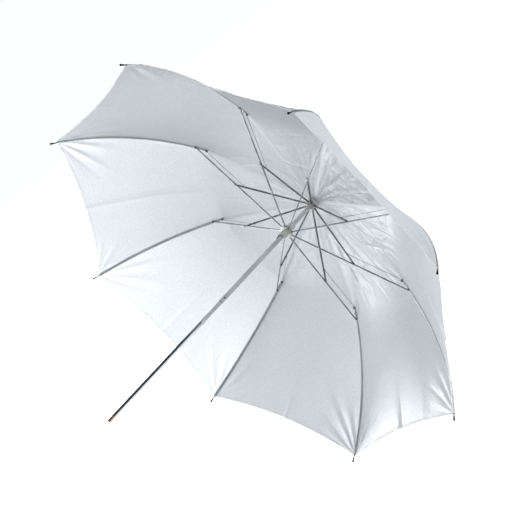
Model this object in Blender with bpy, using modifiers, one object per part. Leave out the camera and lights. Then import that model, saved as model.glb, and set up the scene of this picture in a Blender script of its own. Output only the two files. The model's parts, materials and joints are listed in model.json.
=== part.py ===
"""Umbrella reflector: an eight-rib two-fold photographic umbrella on a telescopic shaft.

The shaft lies along +Y with +Z up. The origin is the centre of the brass tip's end face, the
crown is at the far end, and the hollow side of the cloth faces -Y. Units are metres.

One rib linkage lies in a plane through the shaft. It is drawn once, with the shaft's axis as Y,
the distance from the axis as Z and the thickness of the linkage as X, and then turned round Y
for each of the eight ribs. In that plane a point is a pair (r, y).
"""
import math

import bmesh
import bpy
from mathutils import Matrix, Vector

# ---- driving dimensions -----------------------------------------------------------------------
RIBS = 8
PITCH = math.tau / RIBS
FIRST_RIB = -PITCH / 2            # rib 1 leans half a pitch from +Z, away from +X
TURN_STEPS = 24                   # facets of a turned piece
FINE_STEPS = 32                   # facets of the notched hubs
GAP = 0.0003                      # clearance between pieces that touch
PAST = 1.0                        # a cutter that runs right through ends this far away

# linkage points in the plane of a rib, (r, y)
CROWN_PIN = Vector((0.0080, 0.6410))
RUNNER_PIN = Vector((0.0100, 0.5565))
ELBOW_PIN = Vector((0.2580, 0.6020))      # stretcher's outer end, on the outer rib
RIB_TIP = Vector((0.4750, 0.4150))
KNEE_SHARE = 0.5363                       # the top rib meets the stretcher at this share of it
TAIL = 0.0232                             # outer rib's inner end beyond the elbow pin
BOW = 0.0410                              # height of the outer rib's control point over its chord
BOW_SHARE = 0.51                          # and how far along the chord it stands

# layers of the linkage along X: channels in the middle, stretcher on one side, wire on the other
CHANNEL_W = 0.0022
CHANNEL_H = 0.0022
CHANNEL_T = 0.0003
STRETCHER_X = 0.0021
STRETCHER_W = 0.0014
STRETCHER_H = 0.0026
WIRE_X = -0.0020
WIRE_R = 0.00055
PIN_R = 0.00055
PIN_HOLE_R = 0.00090
EYE_R = 0.0016
HEAD_R = 0.0013
HEAD_T = 0.0005
TIP_BALL_R = 0.0015

# shaft
LOWER_R = 0.0039
LOWER_BORE = 0.0035
UPPER_R = 0.0047
UPPER_BORE = 0.00445
TIP_LEN = 0.018
TIP_CHAMFER = 0.0006
SPIGOT_R = 0.0020
SPIGOT_LEN = 0.010
LOWER_END = 0.368
UPPER_START = 0.335
UPPER_END = 0.6440
COLLAR_R = 0.0042
COLLAR = (0.272, 0.294)
COLLAR_TAPER = 0.0015
FLUTE_W = 0.0026                  # groove that keeps the two tubes from turning
FLUTE_FLOOR = 0.0024
FLUTE_WALL = 0.0004

# shaft lock button and runner catch
BUTTON_Y = 0.346
BUTTON_ANGLE = math.radians(38)   # round the shaft from +Z towards +X
BUTTON_R = 0.0012
BUTTON_HOLE_R = 0.0016
BUTTON_FOOT = 0.0020
BUTTON_TOP = 0.0042
BUTTON_LEAF = (-0.0140, 0.0040)   # the leaf's ends, along the shaft from the button
BUTTON_LEAF_DROP = 0.0010         # the leaf's top below the button's foot
CATCH_ANGLE = math.radians(-52)
CATCH_Y = (0.5255, 0.5360)
CATCH_W = 0.0014
CATCH_FOOT = 0.0045
CATCH_TOP = 0.0064
CATCH_SLOT = 0.0006               # clearance round the catch in the tube
CATCH_SLOT_FLOOR = 0.0030         # the slot's cutter starts inside the tube's bore
CATCH_LAND = 0.0020               # flat top of the tooth
LEAF_T = 0.0003
CATCH_LEAF_W = 0.0018
CATCH_LEAF_R = (0.0028, 0.0042)   # free end under the tooth, and root against the tube's wall
CATCH_LEAF_Y = (0.5000, 0.5060, 0.5160)

# crown and runner
HUB_R = 0.0112
HUB_FOOT_R = 0.0070               # the hub tapers to this at its lower end
HUB_BORE = 0.0050
HUB_Y = (0.6340, 0.6515)
HUB_RIM = 0.0010                  # the hub's lower edge is this much smaller
GROOVE_H = 0.0009
CROWN_SLOT_W = 0.0030
CROWN_SLOT_DEPTH = 0.0058         # the slots' floor, measured from the axis
CROWN_SLOT_HEAD = 0.0030          # the slots end this far above the pins
RING_R = 0.00045
RUNNER_R = 0.0076
RUNNER_BORE = 0.0050
RUNNER_Y = (0.5368, 0.5780)
RUNNER_EDGE = 0.0010              # bevel of the runner's edges
RUNNER_NOSE = (0.0012, 0.0025)    # depth and length of the taper at its crown end
FLANGE_R = 0.0128
FLANGE_H = 0.0085
RUNNER_SLOT_W = 0.0022
RUNNER_SLOT_DEPTH = 0.0080        # the slots' floor, measured from the axis
CATCH_WAY_R = 0.0068              # groove in the runner that passes over the catch
CATCH_WAY_W = 0.0026

# cloth
CLOTH_T = 0.0008
CLOTH_LIFT = 0.0023               # underside of the cloth over a rib's centre line
HEM_SETBACK = 0.012               # share of the bow left bare at the rib's tip
BOW_STEPS = 8
SEAM_GAP = 0.0004
PANEL_SAG = 0.020                 # how far a panel's middle pulls in, as a share of its radius
SCALLOP = 0.050                   # how far the rim's middle pulls in, as a share of the rib
CROWN_CLOTH = Vector((0.0070, 0.6521))    # inner edge, clamped flat under the cap
CLAMP_R = 0.0130
CAP_Y = 0.6536
CAP_R = 0.0120
CAP_H = 0.0050
CAP_PIN_R = 0.0030
CAP_PIN_H = 0.0045
CAP_PIN_NOSE = 0.7                # where the pin's rounding starts, as a share of its size
CAP_SKIRT = 0.0010                # straight side under the cap's dome
CAP_DOME_STEPS = 3

knee_pin = RUNNER_PIN.lerp(ELBOW_PIN, KNEE_SHARE)
top_rib_way = (knee_pin - CROWN_PIN).normalized()
WIRE_PIN = knee_pin - top_rib_way * TAIL
TAIL_PIN = ELBOW_PIN - top_rib_way * TAIL


# ---- materials --------------------------------------------------------------------------------
def material(name, colour, roughness, metallic):
    mat = bpy.data.materials.new(name)
    mat.use_nodes = True
    shader = mat.node_tree.nodes["Principled BSDF"]
    shader.inputs["Base Color"].default_value = (*colour, 1.0)
    shader.inputs["Roughness"].default_value = roughness
    shader.inputs["Metallic"].default_value = metallic
    return mat


def make_materials():
    return {
        "steel": material("rib_steel", (0.42, 0.43, 0.44), 0.35, 1.0),
        "shaft": material("shaft_steel", (0.55, 0.57, 0.60), 0.25, 1.0),
        "brass": material("brass", (0.70, 0.52, 0.26), 0.30, 1.0),
        "plastic": material("ivory_plastic", (0.80, 0.79, 0.72), 0.40, 0.0),
        "spring": material("spring_steel", (0.20, 0.20, 0.21), 0.40, 1.0),
        "cloth": material("white_satin", (0.86, 0.88, 0.91), 0.45, 0.0),
    }


# ---- tools ------------------------------------------------------------------------------------
def clear_scene():
    for obj in list(bpy.data.objects):
        bpy.data.objects.remove(obj, do_unlink=True)


def collection(name):
    made = bpy.data.collections.new(name)
    bpy.context.scene.collection.children.link(made)
    return made


def add(name, mesh, home, mat=None, matrix=None):
    obj = bpy.data.objects.new(name, mesh)
    home.objects.link(obj)
    if mat:
        mesh.materials.clear()
        mesh.materials.append(mat)
    if matrix is not None:
        obj.matrix_world = matrix
    return obj


def baked(obj):
    """The object's mesh with its modifiers, in its own axes; the object is removed."""
    bpy.context.view_layer.update()
    graph = bpy.context.evaluated_depsgraph_get()
    mesh = bpy.data.meshes.new_from_object(obj.evaluated_get(graph))
    bpy.data.objects.remove(obj, do_unlink=True)
    weld(mesh)
    return mesh


def weld(mesh):
    bm = bmesh.new()
    bm.from_mesh(mesh)
    bmesh.ops.remove_doubles(bm, verts=bm.verts, dist=1e-6)
    bmesh.ops.recalc_face_normals(bm, faces=bm.faces)
    bm.to_mesh(mesh)
    bm.free()


def boolean(mesh, tools, operation, home):
    """The mesh cut by, or joined to, each tool mesh in turn."""
    obj = add("blank", mesh, home)
    made = []
    for number, tool in enumerate(tools):
        cutter = add(f"tool_{number}", tool, home)
        cutter.hide_render = True
        cutter.display_type = "WIRE"
        mod = obj.modifiers.new(cutter.name, "BOOLEAN")
        mod.operation = operation
        mod.solver = "EXACT"
        mod.object = cutter
        made.append(cutter)
    result = baked(obj)
    for cutter in made:
        bpy.data.objects.remove(cutter, do_unlink=True)
    return result


def moved(mesh, matrix):
    copy = mesh.copy()
    copy.transform(matrix)
    return copy


def joined(meshes):
    """Separate shapes in one mesh, as a single cutter."""
    bm = bmesh.new()
    for mesh in meshes:
        bm.from_mesh(mesh)
    out = bpy.data.meshes.new("joined")
    bm.to_mesh(out)
    bm.free()
    return out


def box(low, high):
    bm = bmesh.new()
    bmesh.ops.create_cube(bm, size=1.0)
    low, high = Vector(low), Vector(high)
    for vert in bm.verts:
        vert.co = Vector(c * (b - a) + (a + b) / 2 for c, a, b in zip(vert.co, low, high))
    mesh = bpy.data.meshes.new("box")
    bm.to_mesh(mesh)
    bm.free()
    return mesh


def rod(start, end, radius, segments=12):
    """A cylinder between two points."""
    start, end = Vector(start), Vector(end)
    way = end - start
    turn = Vector((0, 0, 1)).rotation_difference(way).to_matrix().to_4x4()
    bm = bmesh.new()
    bmesh.ops.create_cone(
        bm, cap_ends=True, segments=segments, radius1=radius, radius2=radius,
        depth=way.length, matrix=Matrix.Translation((start + end) / 2) @ turn)
    mesh = bpy.data.meshes.new("rod")
    bm.to_mesh(mesh)
    bm.free()
    return mesh


def turned(profile, home, steps=TURN_STEPS, closed=True):
    """A profile of (radius, y), drawn down its outer side from the crown end, turned round Y."""
    mesh = bpy.data.meshes.new("profile")
    count = len(profile)
    edges = [(n, n + 1) for n in range(count - 1)]
    if closed:
        edges.append((count - 1, 0))
    mesh.from_pydata([(r, 0.0, y) for r, y in profile], edges, [])
    obj = add("profile", mesh, home)
    screw = obj.modifiers.new("turn", "SCREW")
    screw.steps = steps
    screw.render_steps = steps
    screw.use_merge_vertices = True
    screw.merge_threshold = 1e-5
    result = baked(obj)
    result.transform(Matrix.Rotation(-math.pi / 2, 4, "X"))
    return result


def plane_point(x, point):
    """A point of a rib's plane (r, y) in the part's axes, x to the side of it."""
    return Vector((x, point[1], point[0]))


def normals(path):
    """The outward normal (cloth side) at each point of a path in a rib's plane."""
    result = []
    for n in range(len(path)):
        way = path[min(n + 1, len(path) - 1)] - path[max(n - 1, 0)]
        result.append(Vector((-way.y, way.x)).normalized())
    return result


def channel(path, home):
    """A folded steel channel along a path: its web on the cloth side, its two flanges inwards."""
    half_w, half_h = CHANNEL_W / 2, CHANNEL_H / 2
    section = [(-half_w, -half_h), (-half_w, half_h), (half_w, half_h), (half_w, -half_h)]
    bm = bmesh.new()
    rows = []
    for point, normal in zip(path, normals(path)):
        rows.append([bm.verts.new(plane_point(x, point + normal * h)) for x, h in section])
    for row, following in zip(rows, rows[1:]):
        for n in range(len(section) - 1):
            bm.faces.new((row[n], following[n], following[n + 1], row[n + 1]))
    bmesh.ops.recalc_face_normals(bm, faces=bm.faces)
    mesh = bpy.data.meshes.new("channel")
    bm.to_mesh(mesh)
    bm.free()
    obj = add("channel", mesh, home)
    shell = obj.modifiers.new("gauge", "SOLIDIFY")
    shell.thickness = CHANNEL_T
    shell.offset = 0.0
    shell.use_even_offset = True
    return baked(obj)


def ball(centre, radius):
    bm = bmesh.new()
    bmesh.ops.create_uvsphere(
        bm, u_segments=8, v_segments=6, radius=radius, matrix=Matrix.Translation(centre))
    mesh = bpy.data.meshes.new("ball")
    bm.to_mesh(mesh)
    bm.free()
    return mesh


def cross_rod(point, x0, x1, radius):
    """A rod across the plane of a rib, through a point of it."""
    return rod(plane_point(x0, point), plane_point(x1, point), radius)


def around(angle):
    """The turn that takes +Z to the given angle round the shaft, towards +X."""
    return Matrix.Rotation(angle, 4, "Y")


def rib_angle(number):
    return FIRST_RIB - PITCH * (number - 1)


# ---- outer rib's curve ------------------------------------------------------------------------
def bow_point(t):
    """The outer rib from its elbow pin (t = 0) to its tip (t = 1)."""
    chord = RIB_TIP - ELBOW_PIN
    out = Vector((-chord.y, chord.x)).normalized()
    control = ELBOW_PIN + chord * BOW_SHARE + out * BOW
    return ELBOW_PIN * (1 - t) ** 2 + control * 2 * t * (1 - t) + RIB_TIP * t ** 2


def outer_path():
    return [TAIL_PIN] + [bow_point(n / BOW_STEPS) for n in range(BOW_STEPS + 1)]


# ---- linkage ----------------------------------------------------------------------------------
def top_rib(home):
    overhang = top_rib_way * EYE_R
    path = [CROWN_PIN - overhang, knee_pin + overhang]
    holes = [cross_rod(pin, -EYE_R, EYE_R, PIN_HOLE_R) for pin in (CROWN_PIN, WIRE_PIN)]
    return boolean(channel(path, home), holes, "DIFFERENCE", home)


def outer_rib(home):
    path = outer_path()
    path[0] = path[0] - top_rib_way * EYE_R
    blank = channel(path, home)
    blank = boolean(blank, [cross_rod(ELBOW_PIN, -EYE_R, EYE_R, PIN_HOLE_R)], "DIFFERENCE", home)
    return boolean(blank, [ball(plane_point(0, RIB_TIP), TIP_BALL_R)], "UNION", home)


def stretcher(home):
    """A flat bar with an eye at the runner, the elbow pin at its outer end and a rivet head."""
    way = (ELBOW_PIN - RUNNER_PIN).normalized()
    lean = math.atan2(way.y, way.x)
    x0, x1 = STRETCHER_X - STRETCHER_W / 2, STRETCHER_X + STRETCHER_W / 2
    length = (ELBOW_PIN - RUNNER_PIN).length
    bar = box((x0, -STRETCHER_H / 2, 0), (x1, STRETCHER_H / 2, length))
    bar.transform(Matrix.Translation(plane_point(0, RUNNER_PIN)) @ Matrix.Rotation(-lean, 4, "X"))
    extra = [cross_rod(RUNNER_PIN, x0, x1, EYE_R),
             cross_rod(ELBOW_PIN, x0, x1, EYE_R),
             cross_rod(ELBOW_PIN, -CHANNEL_W / 2 + CHANNEL_T, x1, PIN_R),
             cross_rod(ELBOW_PIN, x1 - HEAD_T / 2, x1 + HEAD_T, HEAD_R),
             cross_rod(knee_pin, x1 - HEAD_T / 2, x1 + HEAD_T, HEAD_R)]
    bar = boolean(bar, extra, "UNION", home)
    eye = cross_rod(RUNNER_PIN, x0 - HEAD_T, x1 + HEAD_T, PIN_HOLE_R)
    return boolean(bar, [eye], "DIFFERENCE", home)


def link_wire(home):
    """A bent wire from the top rib to the outer rib's tail, with a short leg at each end."""
    curve = bpy.data.curves.new("wire", "CURVE")
    curve.dimensions = "3D"
    curve.bevel_depth = WIRE_R
    curve.bevel_resolution = 2
    curve.use_fill_caps = True
    leg_in, leg_out = CHANNEL_W / 2, -CHANNEL_W / 2 - GAP
    points = [plane_point(leg_in, WIRE_PIN), plane_point(WIRE_X, WIRE_PIN),
              plane_point(WIRE_X, TAIL_PIN), plane_point(leg_out, TAIL_PIN)]
    spline = curve.splines.new("POLY")
    spline.points.add(len(points) - 1)
    for place, point in zip(spline.points, points):
        place.co = (*point, 1.0)
    obj = bpy.data.objects.new("wire", curve)
    home.objects.link(obj)
    return baked(obj)


# ---- cloth ------------------------------------------------------------------------------------
def gore(line, home, flare):
    """One gore of cloth centred on a rib, over the line that its middle follows.

    It is straight across from rib to rib, apart from the panel's sag, and ends half way to the
    neighbouring ribs. The rim is scalloped by flare.
    """
    across = (-1.0, -0.5, 0.0, 0.5, 1.0)
    half = PITCH / 2
    side, back = math.sin(half) * math.cos(half), math.cos(half) ** 2
    count = len(line) - 1
    bm = bmesh.new()
    rows = []
    for n in range(count + 1):
        row = []
        for u in across:
            share = n * (1 - flare * u * u)
            first = min(int(share), count - 1)
            point = line[first].lerp(line[first + 1], share - first)
            along = n / count
            sag = 1 - PANEL_SAG * u * u * 4 * along * (1 - along)
            reach = point.x * (1 - (1 - back) * abs(u)) * sag
            width = (point.x * side * sag - SEAM_GAP) * u
            row.append(bm.verts.new((width, point.y, reach)))
        rows.append(row)
    for row, following in zip(rows, rows[1:]):
        for n in range(len(across) - 1):
            bm.faces.new((row[n], row[n + 1], following[n + 1], following[n]))
    bmesh.ops.recalc_face_normals(bm, faces=bm.faces)
    if sum(face.normal.y for face in bm.faces) < 0:
        bmesh.ops.reverse_faces(bm, faces=bm.faces)
    mesh = bpy.data.meshes.new("gore")
    bm.to_mesh(mesh)
    bm.free()
    obj = add("gore", mesh, home)
    shell = obj.modifiers.new("cloth", "SOLIDIFY")
    shell.thickness = CLOTH_T
    shell.offset = 1.0
    return baked(obj)


def cloth_line():
    """The line of the cloth's underside over an outer rib, from its tail almost to its tip."""
    path = outer_path()
    line = [point + normal * CLOTH_LIFT for point, normal in zip(path, normals(path))]
    line[-1] = line[-2].lerp(line[-1], 1 - HEM_SETBACK * BOW_STEPS)
    return line


def inner_line():
    """The loose cloth between the crown and the outer rib's tail."""
    end = cloth_line()[0] - top_rib_way * SEAM_GAP * 2
    shoulder = Vector((CLAMP_R, CROWN_CLOTH.y))
    return [CROWN_CLOTH, shoulder, shoulder.lerp(end, 0.5), end]


# ---- shaft ------------------------------------------------------------------------------------
def flute(width, floor, y0, y1):
    """The cutter for a straight groove along a tube, on the catch's side."""
    mesh = box((-width / 2, y0, floor), (width / 2, y1, 2 * UPPER_R))
    mesh.transform(around(CATCH_ANGLE))
    return mesh


def lower_tube(home):
    y0, y1 = TIP_LEN + GAP, LOWER_END
    outer = [(0, y1), (LOWER_R, y1), (LOWER_R, COLLAR[1] + COLLAR_TAPER), (COLLAR_R, COLLAR[1]),
             (COLLAR_R, COLLAR[0]), (LOWER_R, COLLAR[0] - COLLAR_TAPER), (LOWER_R, y0), (0, y0)]
    blank = turned(outer, home, closed=False)
    groove = flute(FLUTE_W, FLUTE_FLOOR, -PAST, PAST)
    blank = boolean(blank, [groove], "DIFFERENCE", home)
    bore = turned([(0, PAST), (LOWER_BORE, PAST), (LOWER_BORE, -PAST), (0, -PAST)], home, closed=False)
    fold = flute(FLUTE_W + 2 * FLUTE_WALL, FLUTE_FLOOR - FLUTE_WALL, -2 * PAST, 2 * PAST)
    bore = boolean(bore, [fold], "DIFFERENCE", home)
    blank = boolean(blank, [bore], "DIFFERENCE", home)
    return boolean(blank, [button_hole()], "DIFFERENCE", home)


def button_hole():
    mesh = rod((0, BUTTON_Y, 0), (0, BUTTON_Y, 2 * UPPER_R), BUTTON_HOLE_R)
    mesh.transform(around(BUTTON_ANGLE))
    return mesh


def upper_tube(home):
    blank = turned([(UPPER_R, UPPER_END), (UPPER_R, UPPER_START), (UPPER_BORE, UPPER_START),
                    (UPPER_BORE, UPPER_END)], home)
    half = CATCH_W / 2 + CATCH_SLOT
    slot = box((-half, CATCH_Y[0] - CATCH_SLOT, CATCH_SLOT_FLOOR),
               (half, CATCH_Y[1] + CATCH_SLOT, 2 * UPPER_R))
    slot.transform(around(CATCH_ANGLE))
    return boolean(blank, [slot, button_hole()], "DIFFERENCE", home)


def brass_tip(home):
    face = LOWER_R - TIP_CHAMFER
    return turned([(0, TIP_LEN + SPIGOT_LEN), (SPIGOT_R, TIP_LEN + SPIGOT_LEN),
                   (SPIGOT_R, TIP_LEN), (LOWER_R, TIP_LEN), (LOWER_R, TIP_CHAMFER),
                   (face, 0), (0, 0)], home, closed=False)


def lock_button():
    mesh = rod((0, BUTTON_Y, BUTTON_FOOT), (0, BUTTON_Y, BUTTON_TOP), BUTTON_R)
    mesh.transform(around(BUTTON_ANGLE))
    return mesh


def button_spring():
    """A leaf that bears on the button's foot, inside the lower tube."""
    top = BUTTON_FOOT - BUTTON_LEAF_DROP
    start, end = BUTTON_LEAF
    mesh = box((-BUTTON_R, BUTTON_Y + start, top - LEAF_T), (BUTTON_R, BUTTON_Y + end, top))
    mesh.transform(around(BUTTON_ANGLE))
    return mesh


def plate(outline, width, angle):
    """An outline of (y, radius) points in a plane through the shaft, made into a plate."""
    bm = bmesh.new()
    face = bm.faces.new([bm.verts.new((-width / 2, y, r)) for y, r in outline])
    grown = bmesh.ops.extrude_face_region(bm, geom=[face])
    bmesh.ops.translate(bm, vec=(width, 0, 0),
                        verts=[v for v in grown["geom"] if isinstance(v, bmesh.types.BMVert)])
    mesh = bpy.data.meshes.new("plate")
    bm.to_mesh(mesh)
    bm.free()
    weld(mesh)
    mesh.transform(around(angle))
    return mesh


def runner_catch():
    """A tooth with a square shoulder towards the runner and a ramp towards the handle."""
    y0, y1 = CATCH_Y
    return plate([(y1, CATCH_FOOT), (y1, CATCH_TOP), (y1 - CATCH_LAND, CATCH_TOP),
                  (y0, CATCH_FOOT + LEAF_T), (y0, CATCH_FOOT)], CATCH_W, CATCH_ANGLE)


def catch_spring():
    """The leaf under the catch: its root lies on the tube's wall, its free end in the flute."""
    free, root = CATCH_LEAF_R
    start, bend, flat = CATCH_LEAF_Y
    top = [(start, root), (bend, root), (flat, free), (CATCH_Y[1], free)]
    bottom = [(y, r - LEAF_T) for y, r in reversed(top)]
    return plate(top + bottom, CATCH_LEAF_W, CATCH_ANGLE)


# ---- crown and runner -------------------------------------------------------------------------
def notches(width, depth, reach, x, y0, y1):
    """The cutter for a slot at every rib."""
    blade = box((x - width / 2, y0, depth), (x + width / 2, y1, reach))
    return joined([moved(blade, around(rib_angle(n + 1))) for n in range(RIBS)])


def crown_hub(home):
    low, high = HUB_Y
    mid = CROWN_PIN.y
    core = CROWN_PIN.x - RING_R - GAP
    profile = [(0, high), (HUB_R, high), (HUB_R, mid + GROOVE_H), (core, mid + GROOVE_H),
               (core, mid - GROOVE_H), (HUB_R - HUB_RIM, mid - GROOVE_H), (HUB_FOOT_R, low),
               (HUB_BORE, low), (HUB_BORE, UPPER_END + GAP), (0, UPPER_END + GAP)]
    blank = turned(profile, home, FINE_STEPS, closed=False)
    cut = notches(CROWN_SLOT_W, CROWN_SLOT_DEPTH, 2 * HUB_R, 0, low - HUB_R, mid + CROWN_SLOT_HEAD)
    return boolean(blank, [cut], "DIFFERENCE", home)


def ring(radius, y):
    bpy.ops.mesh.primitive_torus_add(
        major_radius=radius, minor_radius=RING_R, major_segments=RIBS * 4, minor_segments=6)
    obj = bpy.context.object
    mesh = obj.data
    bpy.data.objects.remove(obj, do_unlink=True)
    mesh.transform(Matrix.Translation((0, y, 0)) @ Matrix.Rotation(-math.pi / 2, 4, "X")
                   @ Matrix.Rotation(math.pi / (RIBS * 4), 4, "Z"))
    return mesh


def crown_cap(home):
    """The cap that clamps the cloth to the crown, with a short pin on top."""
    crest = CAP_Y + CAP_H
    dome = [(0, crest + CAP_PIN_H), (CAP_PIN_R * CAP_PIN_NOSE, crest + CAP_PIN_H),
            (CAP_PIN_R, crest + CAP_PIN_H * CAP_PIN_NOSE), (CAP_PIN_R, crest)]
    for n in range(1, CAP_DOME_STEPS + 1):
        a = math.pi / 2 * n / CAP_DOME_STEPS
        dome.append((CAP_PIN_R + (CAP_R - CAP_PIN_R) * math.sin(a),
                     CAP_Y + CAP_SKIRT + (CAP_H - CAP_SKIRT) * math.cos(a)))
    dome += [(CAP_R, CAP_Y), (0, CAP_Y)]
    return turned(dome, home, closed=False)


def runner(home):
    low, high = RUNNER_Y
    mid = RUNNER_PIN.y
    core = math.hypot(RUNNER_PIN.x, STRETCHER_X) - RING_R - GAP
    taper, nose = RUNNER_NOSE
    profile = [(RUNNER_BORE, high), (RUNNER_R - taper, high), (RUNNER_R, high - nose),
               (RUNNER_R, mid + FLANGE_H / 2), (FLANGE_R, mid + FLANGE_H / 2 - RUNNER_EDGE),
               (FLANGE_R, mid + GROOVE_H), (core, mid + GROOVE_H), (core, mid - GROOVE_H),
               (FLANGE_R, mid - GROOVE_H), (FLANGE_R, mid - FLANGE_H / 2 + RUNNER_EDGE),
               (RUNNER_R, mid - FLANGE_H / 2), (RUNNER_R, low + RUNNER_EDGE),
               (RUNNER_R - RUNNER_EDGE, low), (RUNNER_BORE, low)]
    blank = turned(profile, home, FINE_STEPS)
    cut = notches(RUNNER_SLOT_W, RUNNER_SLOT_DEPTH, 2 * FLANGE_R, STRETCHER_X,
                  mid - FLANGE_H, mid + FLANGE_H)
    way = box((-CATCH_WAY_W / 2, low - RUNNER_R, 0), (CATCH_WAY_W / 2, high + RUNNER_R, CATCH_WAY_R))
    way.transform(around(CATCH_ANGLE))
    return boolean(blank, [cut, way], "DIFFERENCE", home)


# ---- assembly ---------------------------------------------------------------------------------
def build():
    clear_scene()
    home = collection("umbrella_reflector")
    mats = make_materials()

    add("lower_tube", lower_tube(home), home, mats["shaft"])
    add("brass_tip", brass_tip(home), home, mats["brass"])
    add("lock_button", lock_button(), home, mats["spring"])
    add("button_spring", button_spring(), home, mats["spring"])
    add("upper_tube", upper_tube(home), home, mats["shaft"])
    add("runner_catch", runner_catch(), home, mats["spring"])
    add("catch_spring", catch_spring(), home, mats["spring"])
    add("crown_hub", crown_hub(home), home, mats["plastic"])
    add("crown_ring", ring(CROWN_PIN.x, CROWN_PIN.y), home, mats["steel"])
    add("crown_cap", crown_cap(home), home, mats["plastic"])
    add("runner", runner(home), home, mats["plastic"])
    ring_reach = math.hypot(RUNNER_PIN.x, STRETCHER_X)
    add("runner_ring", ring(ring_reach, RUNNER_PIN.y), home, mats["steel"])

    shapes = {
        "top_rib": (top_rib(home), "steel"),
        "stretcher": (stretcher(home), "steel"),
        "outer_rib": (outer_rib(home), "steel"),
        "link_wire": (link_wire(home), "steel"),
        "inner_cloth": (gore(inner_line(), home, 0.0), "cloth"),
        "outer_cloth": (gore(cloth_line(), home, SCALLOP), "cloth"),
    }
    for number in range(1, RIBS + 1):
        for name, (mesh, kind) in shapes.items():
            add(f"{name}_{number}", mesh, home, mats[kind], around(rib_angle(number)))


build()
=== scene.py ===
"""Looks of the umbrella reflector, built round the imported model.

The cloth is one tensioned surface of eight sewn panels. Each panel is drawn as a grid of points
between two ribs, and then cut down its middle and at the ribs' tails, so that every half can ride
on the rib it is sewn to. The steel, the shaft, the crown and the runner are the model's own nodes
with finer edges and materials, and the outer ribs are drawn again as smooth bows.

The model's frame: the shaft along +Y with the crown at the far end, +Z up, metres. In the plane
of a rib a point is a pair (r, y), its distance from the shaft's axis and its place along it.
"""
import json
import math

import bpy
import numpy as np
from mathutils import Matrix, Quaternion, Vector


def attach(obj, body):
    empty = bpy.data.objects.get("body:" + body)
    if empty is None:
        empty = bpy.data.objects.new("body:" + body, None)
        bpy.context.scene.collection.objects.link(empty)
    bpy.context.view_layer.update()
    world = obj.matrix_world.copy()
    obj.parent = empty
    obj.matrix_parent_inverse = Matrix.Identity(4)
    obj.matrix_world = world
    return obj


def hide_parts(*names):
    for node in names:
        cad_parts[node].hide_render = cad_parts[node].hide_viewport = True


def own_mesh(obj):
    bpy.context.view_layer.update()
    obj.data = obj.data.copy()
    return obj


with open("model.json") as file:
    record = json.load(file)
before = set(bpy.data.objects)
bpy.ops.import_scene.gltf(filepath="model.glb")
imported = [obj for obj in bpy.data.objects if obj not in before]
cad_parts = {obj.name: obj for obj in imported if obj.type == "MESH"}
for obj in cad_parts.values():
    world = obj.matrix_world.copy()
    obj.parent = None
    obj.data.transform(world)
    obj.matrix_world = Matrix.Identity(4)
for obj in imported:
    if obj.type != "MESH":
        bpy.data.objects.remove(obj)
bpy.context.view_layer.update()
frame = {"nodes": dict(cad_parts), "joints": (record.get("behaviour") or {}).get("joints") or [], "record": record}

# ---- sizes, in metres --------------------------------------------------------------------------
RIBS = 8
PITCH = math.tau / RIBS
HALF = PITCH / 2

TAIL = 0.0232                    # the outer rib's inner end, beyond its elbow pin
TAIL_END = 0.0016                # and the channel goes on this far beyond the tail's pin
RIB_TIP = np.array((0.4750, 0.4150))
BOW = 0.0410                     # the outer rib's control point, over its chord
BOW_SHARE = 0.51

CHANNEL_HALF = 0.0011            # outer half width of the rib's channel, and height over its line
CHANNEL_LIP = -0.0003            # its open edges, under that line
GAUGE = 0.0003
FOLD_R = 0.0005                  # rounding of the channel's two folds
TIP_WIRE_R = 0.0010
TIP_WIRE_LEN = 0.0095
TURNED_SIDES = 14
OFF_AXIS = (0.31, 0.27, 0.91)    # a direction that no turned piece's axis has
TIP_CAP = ((-0.0062, 0.0009), (-0.0056, 0.0015), (0.0002, 0.0016), (0.0010, 0.0022), (0.0026, 0.0022),
           (0.0036, 0.0012))     # places along the rib from its tip, and radii

LOOP_R = 0.0021                  # of the wire and of the thread that are wound round a rib
LINK_WIRE_R = 0.00048
LINK_WIRE_TURNS = 2.5
LINK_WIRE_PITCH = 0.0011
THREAD_R = 0.00026
THREAD_TURNS = 5
TIE_SHARE = 0.40                 # of the bow, where one tie is
TIE_TAIL = 0.008                 # and the other is this far beyond the tail's pin
TIE_LIFT = 0.0004

CLOTH_LIFT = 0.0020              # the cloth over a rib's centre line
CLAMP = ((0.0075, 0.6525), (0.0125, 0.6525))   # the cloth's inner edge, under the cap
HEM_SETBACK = 0.034              # share of the bow left bare at the rib's tip
SCALLOP = 0.0165                 # how far the rim's middle is cut back
SAG = 0.0120                     # how far a panel's middle is pulled in
SOFTENING = 0.038                # reach over which a panel's middle rounds off the bend at the tails
TAUT = 0.0065                    # the folds die out this near to a rib
FIRST_SEED = 40
INNER_ROWS = 105
OUTER_ROWS = 115
SEAM_COLUMNS = np.array((0.0, 0.0012, 0.0028, 0.0046))         # distances from a rib
MIDDLE_COLUMNS = np.array((0.0, 0.0012, 0.0026, 0.0044, 0.0068, 0.0100, 0.0145, 0.0200))
FIELD_COLUMNS = 32
SEAM_FULL = 0.045                # half panels narrower than this draw their seam columns closer
MIDDLE_FULL = 0.080              # and their middle columns below this

HEM_W = 0.0038
HEM_T = 0.0006
HEM_STITCHED = 0.8               # the row of stitches, as a share of the hem's width
SEAM_W = 0.0034
SEAM_STITCHED = 0.7
SEAM_GAP = 0.0004                # the seam allowance, inside the cloth
STITCH_PITCH = 0.0032
STITCH = (0.0024, 0.00070, 0.00055)            # length, width and height of a stitch


# ---- points and directions ---------------------------------------------------------------------
def pin(joint):
    """A joint's place in the plane of its rib."""
    x, y, z = next(j for j in frame["joints"] if j["name"] == joint)["pos_m"]
    return np.array((math.hypot(x, z), y))


def unit(vector):
    return vector / np.linalg.norm(vector)


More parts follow.
